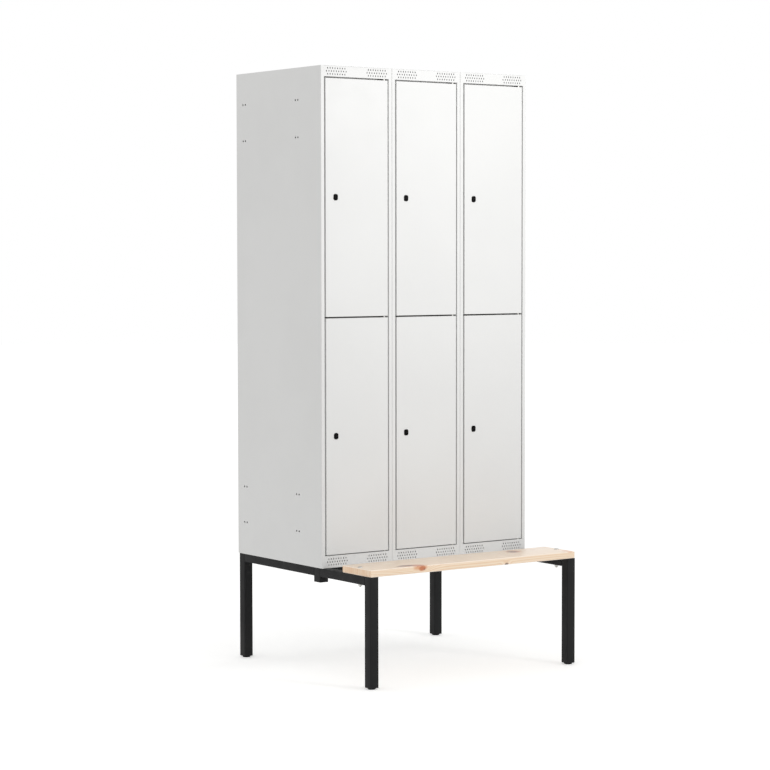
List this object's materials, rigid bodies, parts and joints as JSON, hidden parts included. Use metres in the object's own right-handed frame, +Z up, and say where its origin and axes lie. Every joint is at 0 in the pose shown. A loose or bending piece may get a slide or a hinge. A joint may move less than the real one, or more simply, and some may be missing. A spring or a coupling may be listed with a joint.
{
  "type": "locker with bench",
  "caption": "Tall steel cloakroom locker with two tiers of flush doors on a black tube stand that reaches forward as a pine bench seat.",
  "frame": {"origin": "centre of the footprint of the whole, cabinet and bench together, on the floor", "axes": "+Z up, +X towards the right-hand locker seen from the bench, +Y from the bench towards the back"},
  "size_m": [0.9, 0.841, 2.123],
  "materials": {
    "carcass_steel": "fine textured powder coat, light grey",
    "door_steel": "fine textured powder coat, light grey",
    "stand_steel": "satin black powder coat",
    "seat_pine": "clear lacquered pine",
    "black_plastic": "moulded black plastic",
    "lock_black": "moulded black plastic",
    "zinc_steel": "zinc plated"
  },
  "bodies": {
    "carcass": {"left_locker_left_side": "carcass_steel", "left_locker_right_side": "carcass_steel", "left_locker_back": "carcass_steel", "left_locker_roof": "carcass_steel", "left_locker_floor": "carcass_steel", "left_locker_shelf": "carcass_steel", "middle_locker_left_side": "carcass_steel", "middle_locker_right_side": "carcass_steel", "middle_locker_back": "carcass_steel", "middle_locker_roof": "carcass_steel", "middle_locker_floor": "carcass_steel", "middle_locker_shelf": "carcass_steel", "right_locker_left_side": "carcass_steel", "right_locker_right_side": "carcass_steel", "right_locker_back": "carcass_steel", "right_locker_roof": "carcass_steel", "right_locker_floor": "carcass_steel", "right_locker_shelf": "carcass_steel", "upper_fascias": "carcass_steel", "lower_fascias": "carcass_steel", "hinge_pins": "zinc_steel", "coat_hooks": "zinc_steel", "cabinet_screws": "zinc_steel", "rear_leg_left": "stand_steel", "bench_leg_left": "stand_steel", "side_rail_left": "stand_steel", "bench_arm_left": "stand_steel", "rear_leg_right": "stand_steel", "bench_leg_right": "stand_steel", "side_rail_right": "stand_steel", "bench_arm_right": "stand_steel", "rear_cross_rail": "stand_steel", "front_cross_rail": "stand_steel", "levelling_feet": "black_plastic", "seat_board": "seat_pine", "bench_bolts": "zinc_steel"},
    "left_lower_door_leaf": {"left_lower_door": "door_steel", "left_lower_door_stiffener": "door_steel", "left_lower_lock_housing": "lock_black"},
    "left_lower_cam": {"left_lower_lock_cylinder": "zinc_steel"},
    "left_upper_door_leaf": {"left_upper_door": "door_steel", "left_upper_door_stiffener": "door_steel", "left_upper_lock_housing": "lock_black"},
    "left_upper_cam": {"left_upper_lock_cylinder": "zinc_steel"},
    "middle_lower_door_leaf": {"middle_lower_door": "door_steel", "middle_lower_door_stiffener": "door_steel", "middle_lower_lock_housing": "lock_black"},
    "middle_lower_cam": {"middle_lower_lock_cylinder": "zinc_steel"},
    "middle_upper_door_leaf": {"middle_upper_door": "door_steel", "middle_upper_door_stiffener": "door_steel", "middle_upper_lock_housing": "lock_black"},
    "middle_upper_cam": {"middle_upper_lock_cylinder": "zinc_steel"},
    "right_lower_door_leaf": {"right_lower_door": "door_steel", "right_lower_door_stiffener": "door_steel", "right_lower_lock_housing": "lock_black"},
    "right_lower_cam": {"right_lower_lock_cylinder": "zinc_steel"},
    "right_upper_door_leaf": {"right_upper_door": "door_steel", "right_upper_door_stiffener": "door_steel", "right_upper_lock_housing": "lock_black"},
    "right_upper_cam": {"right_upper_lock_cylinder": "zinc_steel"}
  },
  "joints": [
    {"name": "left_lower_door_swing", "type": "hinge", "parent": "carcass", "child": "left_lower_door_leaf", "pos_m": [-0.1807, -0.1235, 0.842], "axis": [0, 0, 1], "range_deg": [0, 110]},
    {"name": "left_lower_cam_turn", "type": "hinge", "parent": "left_lower_door_leaf", "child": "left_lower_cam", "pos_m": [-0.3895, -0.1295, 0.842], "axis": [0, 1, 0], "range_deg": [0, 90]},
    {"name": "left_upper_door_swing", "type": "hinge", "parent": "carcass", "child": "left_upper_door_leaf", "pos_m": [-0.1807, -0.1235, 1.6708], "axis": [0, 0, 1], "range_deg": [0, 110]},
    {"name": "left_upper_cam_turn", "type": "hinge", "parent": "left_upper_door_leaf", "child": "left_upper_cam", "pos_m": [-0.3895, -0.1295, 1.6708], "axis": [0, 1, 0], "range_deg": [0, 90]},
    {"name": "middle_lower_door_swing", "type": "hinge", "parent": "carcass", "child": "middle_lower_door_leaf", "pos_m": [0.1193, -0.1235, 0.842], "axis": [0, 0, 1], "range_deg": [0, 110]},
    {"name": "middle_lower_cam_turn", "type": "hinge", "parent": "middle_lower_door_leaf", "child": "middle_lower_cam", "pos_m": [-0.0895, -0.1295, 0.842], "axis": [0, 1, 0], "range_deg": [0, 90]},
    {"name": "middle_upper_door_swing", "type": "hinge", "parent": "carcass", "child": "middle_upper_door_leaf", "pos_m": [0.1193, -0.1235, 1.6708], "axis": [0, 0, 1], "range_deg": [0, 110]},
    {"name": "middle_upper_cam_turn", "type": "hinge", "parent": "middle_upper_door_leaf", "child": "middle_upper_cam", "pos_m": [-0.0895, -0.1295, 1.6708], "axis": [0, 1, 0], "range_deg": [0, 90]},
    {"name": "right_lower_door_swing", "type": "hinge", "parent": "carcass", "child": "right_lower_door_leaf", "pos_m": [0.4193, -0.1235, 0.842], "axis": [0, 0, 1], "range_deg": [0, 110]},
    {"name": "right_lower_cam_turn", "type": "hinge", "parent": "right_lower_door_leaf", "child": "right_lower_cam", "pos_m": [0.2105, -0.1295, 0.842], "axis": [0, 1, 0], "range_deg": [0, 90]},
    {"name": "right_upper_door_swing", "type": "hinge", "parent": "carcass", "child": "right_upper_door_leaf", "pos_m": [0.4193, -0.1235, 1.6708], "axis": [0, 0, 1], "range_deg": [0, 110]},
    {"name": "right_upper_cam_turn", "type": "hinge", "parent": "right_upper_door_leaf", "child": "right_upper_cam", "pos_m": [0.2105, -0.1295, 1.6708], "axis": [0, 1, 0], "range_deg": [0, 90]}
  ]
}
